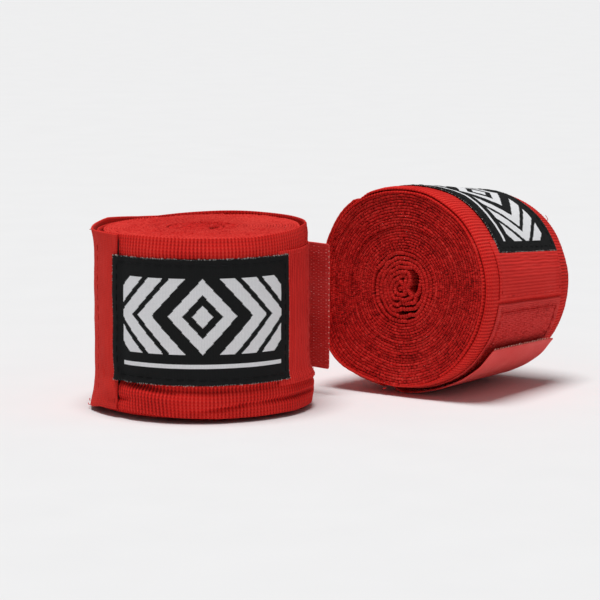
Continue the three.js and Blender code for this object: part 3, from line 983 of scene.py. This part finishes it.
def make_seam_stitching(roll):
    """Threads across the band that join strap and band under the label."""
    def radius(angle, z):
        lift = BAND_THICKNESS / 2 + CLEARANCE + STRAP.thickness - STRAP_SINK + 0.03
        return roll.over(lift)(angle, z) - roll.sink(angle)

    paths = []
    for angle in SEAM_ANGLES:
        paths += stitch_line(radius, (angle, 2.5), (angle, BAND_WIDTH - 2.5), roll.end_shift, gap=0.8)
    return thread_bundle(roll, "strap_seam_stitching", paths)


# ------------------------------ hook tape
def make_fixed_tape(roll):
    """The part of the hook tape that is sewn under the strap."""
    angles = np.linspace(TAPE_SPLIT, TAPE.end, 40)

    def middle(angle, z):
        return roll.tape(angle) + 0.15

    def relief(angle, z, along, across):
        return 0.03 * roll.noise(35, 2, along, across)

    return plate(roll, "hook_tape", angles, TAPE.rows(1.5), middle, DRAWN["tape"], "hook_tape",
                 roll.end_shift, relief, start=TAPE.start)


def make_tape_stitching(roll, inset=1.5):
    def radius(angle, z):
        return roll.strap(angle) + 0.3 + roll.swell(angle, z)

    start, end = STRAP.start + arc_angle(inset), TAPE.end - arc_angle(inset)
    paths = stitch_frame(radius, start, end, TAPE.low + inset, roll.end_shift)
    return thread_bundle(roll, "hook_tape_stitching", paths)


def tab_points(roll):
    """Start, hinge points and tip of the free tab, in the roll frame, without height."""
    hinges = [roll.local(roll.joint(name)["pos_m"])[:2] for name in ("lift", "bend", "curl")]
    before, last = hinges[1] - hinges[0], hinges[2] - hinges[1]
    bend = math.atan2(last[1], last[0]) - math.atan2(before[1], before[0])
    tip = hinges[2] + rotation(math.degrees(bend), "Z")[:2, :2] @ last
    straight, inwards, back = roll.tab_curl
    tip = tip * (1 - inwards / np.hypot(*tip)) - last * back
    for k in (1, 2):
        hinges[k] = mix(hinges[k], mix(hinges[0], tip, k / TAB_LINKS), straight)
    start = polar(TAPE_SPLIT, float(roll.tape(TAPE_SPLIT)), 0)[:2]
    return start, hinges, tip


def tab_curve(roll, link):
    """Smooth centre line of one piece of the tab: a curve round its hinge, from mid link to mid link."""
    start, hinges, tip = tab_points(roll)
    ends = [*hinges, tip]
    stops = [start] + [(a + b) / 2 for a, b in zip(ends, ends[1:])]
    t = np.linspace(0, 1, 26)[:, None]
    curve = stops[link] * (1 - t) ** 2 + 2 * hinges[link] * t * (1 - t) + stops[link + 1] * t ** 2
    if link < TAB_LINKS - 1:
        return curve
    return np.concatenate([curve, mix(stops[-1], tip, np.linspace(0, 1, 22)[1:, None])])


def make_tab_piece(roll, link):
    """One length of the free tab, with its hooks, and with the hook tips if it is the last."""
    path = tab_curve(roll, link)
    out = side_of(path)
    out *= np.sign(np.sum(out[0] * path[0]))
    is_last = link == TAB_LINKS - 1
    reach = TAPE.height / 2
    rows = edge_steps(-reach, reach, 1.4)
    step = travel(path)
    left = (step[-1] - step)[:, None]
    share = rounding(reach - np.abs(rows), 0.3)[None, :] * np.ones_like(left)
    along = LINK_LENGTH * link + step[:, None] + 0 * share
    middle = 0.16 + 0.06 * roll.noise(36, 8, along, rows[None, :])
    wide = rows[None, :] + 0 * share
    if is_last:
        share = share * rounding(left, 0.3)
        middle = middle + 0.05 * hump(left, 0.8, 0.5)
        pull = TAB_CORNER - np.sqrt(TAB_CORNER ** 2 - np.maximum(TAB_CORNER - left, 0) ** 2)
        wide = wide * (1 - pull / reach)
    offsets = np.concatenate([middle + 0.2 * share, (middle - 0.2 * share)[:, ::-1]], axis=1)
    z = np.concatenate([wide, wide[:, ::-1]], axis=1) + tab_level(roll)
    flat = path[:, None] + out[:, None] * offsets[:, :, None]
    rings = np.concatenate([flat, z[:, :, None]], axis=2)
    # Painted shade: the face toward the roll, which carries the hooks, is darker than the outer face.
    shade = np.concatenate([0.6 + 0 * share, 0.45 + 0 * share], axis=1)
    piece = loft(roll, f"tab_tape_{link + 1}", rings, "hook_tape", across=z, shade=shade,
                 along=np.concatenate([along, along[:, ::-1]], axis=1))
    hooks = make_hooks(roll, link, path, out, step[-1] - (0.45 if is_last else 0))
    return [piece, hooks, make_hook_tips(roll, path, out)] if is_last else [piece, hooks]


def tab_level(roll):
    return BAND_WIDTH / 2 + roll.end_shift + roll.tab_rise


def make_hooks(roll, link, path, out, end):
    """Moulded hooks on the face of the tab that meets the loop patch."""
    rng = roll.dice(70 + link)
    step = travel(path)
    profile = [(0.0, 0.0), (0.04, -0.15), (0.14, -0.25), (0.3, -0.24), (0.36, -0.15)]
    paths = []
    for k, s in enumerate(np.arange(HOOK_PITCH / 2, end, HOOK_PITCH)):
        base, normal = (np.array([np.interp(s, step, x) for x in line.T]) for line in (path, out))
        along = np.array([normal[1], -normal[0]])
        for z in np.arange(-TAPE.height / 2 + 1.4, TAPE.height / 2 - 1.2, HOOK_PITCH):
            z = z + (HOOK_PITCH / 2 if k % 2 else 0) + rng.normal(0, 0.1) + tab_level(roll)
            lean = rng.uniform(-0.15, 0.15)
            hook = [(*(base + normal * (h - 0.02) + along * (x - 0.15)), z + lean * x) for x, h in profile]
            paths.append(np.array(hook))
    # Each hook takes a random tone, and the palest stand for painted glints.
    return thread_bundle(roll, f"tab_hooks_{link + 1}", paths, 0.1, "hook_plastic_and_painted_glints", sides=4)


def make_hook_tips(roll, path, out):
    """Hook tips that stand out past the free edge of the tab, coloured pale as painted glints."""
    rng = roll.dice(80)
    along = unit(path[-1] - path[-2])
    paths = []
    for z in np.arange(-TAPE.height / 2 + 1.2, TAPE.height / 2 - 1, HOOK_PITCH * 1.6) + tab_level(roll):
        reach = rng.uniform(*roll.tip_reach)
        profile = [(-0.5, 0.1), (0.0, 0.0), (reach * 0.6, -0.04), (reach, 0.05)]
        tip = [(*(path[-1] + along * x + out[-1] * h), z + rng.uniform(-0.1, 0.1)) for x, h in profile]
        paths.append(np.array(tip))
    return thread_bundle(roll, "tab_hook_tips", paths, 0.15, "hook_tip_painted_glints")


# ------------------------------ assembly
def build(roll):
    body = f"{roll.name}_roll"

    def ride(make, slot, *nodes):
        obj = make(roll)
        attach(obj, body)
        if nodes:
            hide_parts(*[f"{roll.name}_{node}" for node in nodes])
        return obj

    outer = ride(make_outer_turn, "ribbed_band", "band")
    coil = ride(make_coil, "ribbed_band", "band")
    core = ride(make_core, "ribbed_band", "band")
    loop = ride(make_thumb_loop, "strap_weave", "thumb_loop")
    strap = ride(make_strap, "strap_weave", "closing_strap")
    ride(make_seam_stitching, "sewing_thread", "strap_seam_stitching")
    ride(make_loose_threads, "sewing_thread")
    label = ride(make_label, "label_weave", "label")
    ride(make_label_stitching, "label_thread", "label_stitching")
    ride(make_label_fray, "label_thread")
    backing = ride(make_backing, "backing_weave", "backing_tape")
    ride(make_backing_stitching, "sewing_thread", "backing_tape_stitching")
    patch = ride(make_patch, "loop_pile", "loop_patch")
    ride(make_patch_loops, "loop_pile")
    ride(make_patch_stitching, "sewing_thread", "loop_patch_stitching")
    tape = ride(make_fixed_tape, "hook_tape", "hook_tape")
    ride(make_tape_stitching, "sewing_thread", "hook_tape_stitching")

    coil_radius = float(roll.band(mix(COIL_FROM, SHOWN_CORE, 0.5))) * roll.squeeze
    core_path(roll, 1.0)[1][-1]

    for link, joint in enumerate(("lift", "bend", "curl")):
        hinge = roll.local(roll.joint(joint)["pos_m"])
        path = tab_curve(roll, link)
        near = np.argmin(np.hypot(*(path - hinge[:2]).T))
        way = np.append(unit(path[near + 1] - path[near - 1]), 0) * LINK_LENGTH * 0.42
        start, end = roll.place(hinge - way), roll.place(hinge + way)
        pieces = make_tab_piece(roll, link)
        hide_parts(f"{roll.name}_tab_link_{link + 1}")
        for obj in pieces:
            tuple(start)
            tuple(end)
            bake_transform(obj)


# Humps are (angle, spread, height on the roll, reach, millimetres out), rims are (winding angle,
# millimetres that the far edge stands higher, millimetres that the near edge does), and creases are
# (winding angle, height) of both ends, width and millimetres out
STANDING = Roll(
    "standing", 11, looseness=0.8, end_shift=0.5, peak_shift=3.0, squeeze=0.985, dome=(1.1, 0.7, 1.3),
    tab_rise=0.7, tab_curl=(0.0, 0.6, 0.02), undercut=(245, 60, 2.0, 23.0), tip_reach=(0.0, 0.2),
    humps=[
        (192, 20, 51, 3.2, 1.1), (192, 22, -0.5, 4.2, 1.5), (353, 28, 4.6, 3.4, 2.2),
        (345, 30, 0.2, 2.2, 1.1), (240, 26, 1.5, 2.6, 0.7), (268, 45, 6, 3.6, 0.6),
        (235, 20, 9.5, 1.8, -0.5), (285, 70, 50.5, 2.6, -0.9), (60, 70, 51, 3.0, -0.4),
    ],
    rim=[
        (95, 1.0, 0.0), (130, 1.3, 0.0), (155, 2.2, 0.0), (180, 1.5, 0.0), (195, 1.3, 0.4),
        (206, 1.3, 1.4), (222, 1.2, 1.7), (237, 1.2, 1.4), (261, 0.4, 0.0), (279, -0.2, -0.7),
        (300, -0.8, -1.2), (330, -0.5, -1.7), (360, 0.0, -1.8), (415, 0.0, -1.0), (520, 1.2, 1.2),
    ],
    creases=[
        (208, 9.4, 256, 6.9, 1.0, -1.2), (236, 7.6, 318, 8.2, 0.8, -0.6), (212, 5.6, 300, 3.6, 2.0, 0.8),
        (204, 1.8, 236, 4.0, 0.7, -0.7), (266, 2.0, 300, 3.9, 0.6, -1.0), (292, 3.7, 366, 4.4, 0.6, -1.1),
        (232, 45.6, 300, 46.6, 1.2, 0.35),
    ],
    loose=[(184, 49.2, 0.9), (187, 1.2, 0.8), (191, 0.2, 0.7), (350, 50.2, 1.1), (353, 49.8, 0.8)])
LYING = Roll(
    "lying", 23, spin=12.0, taper=0.1, peak_shift=0.4, squeeze=0.988, end_sink=0.75,
    bulges=[(125, 23, 3.3), (215, 24, 1.6)], tab_curl=(0.33, 1.84, 0.21),
    humps=[(30, 400, -0.3, 2.2, -0.7), (30, 400, 50.3, 2.2, -0.5), (338, 8, 25, 30, 0.18)],
    rim=[(0, 0.0, 0.0)],
    loose=[(86, 0.2, 0.8), (300, 49.8, 0.8)])


# ------------------------------ studio
CAMERA = {"distance": 0.85, "elevation": 8.3, "right": 0.028, "height": 0.0303, "focal": 177.7, "sensor": 36}
FLOOR = {"reach": 12.0, "level": -0.0002, "dark": (0.83, 0.83, 0.835, 1), "light": (0.86, 0.86, 0.865, 1)}
SUN = {"energy": 2.7, "angle": 26.0, "direction": (-0.06, -0.09, 1)}
WORLD_STRENGTH = 0.19


def add_to_scene(name, data):
    obj = bpy.data.objects.new(name, data)
    bpy.context.scene.collection.objects.link(obj)
    return obj


def make_camera():
    target = Vector(STANDING.origin * MM) + Vector((CAMERA["right"], 0, CAMERA["height"]))
    lift = math.radians(CAMERA["elevation"])
    away = Vector((0, -math.cos(lift), math.sin(lift)))
    data = bpy.data.cameras.new("camera")
    data.lens, data.sensor_width, data.clip_end = CAMERA["focal"], CAMERA["sensor"], 100
    camera = add_to_scene("camera", data)
    camera.location = target + away * CAMERA["distance"]
    camera.rotation_euler = away.to_track_quat("Z", "Y").to_euler()
    bpy.context.scene.camera = camera


def make_floor():
    mesh = bpy.data.meshes.new("floor")
    corners = [(x * FLOOR["reach"], y * FLOOR["reach"], 0) for x, y in ((-1, -1), (1, -1), (1, 1), (-1, 1))]
    mesh.from_pydata(corners, [], [(0, 1, 2, 3)])
    paper = Cloth("pale_floor", 0.9, specular=0.1)
    grain = paper.noise(paper.place(), 40.0)
    mesh.materials.append(paper.finish(paper.blend(grain, FLOOR["dark"], FLOOR["light"])))
    floor = add_to_scene("floor", mesh)
    floor.location.z = FLOOR["level"]


def make_lights():
    world = bpy.data.worlds.new("studio")
    world.use_nodes = True
    world.node_tree.nodes["Background"].inputs["Color"].default_value = (1, 1, 1, 1)
    world.node_tree.nodes["Background"].inputs["Strength"].default_value = WORLD_STRENGTH
    bpy.context.scene.world = world
    data = bpy.data.lights.new("softbox", "SUN")
    data.energy, data.angle = SUN["energy"], math.radians(SUN["angle"])
    light = add_to_scene("softbox", data)
    light.rotation_euler = Vector(SUN["direction"]).to_track_quat("Z", "Y").to_euler()
    bpy.context.scene.view_settings.view_transform = "Standard"


make_camera()
make_lights()
make_floor()
for one in (STANDING, LYING):
    build(one)

bpy.context.view_layer.update()
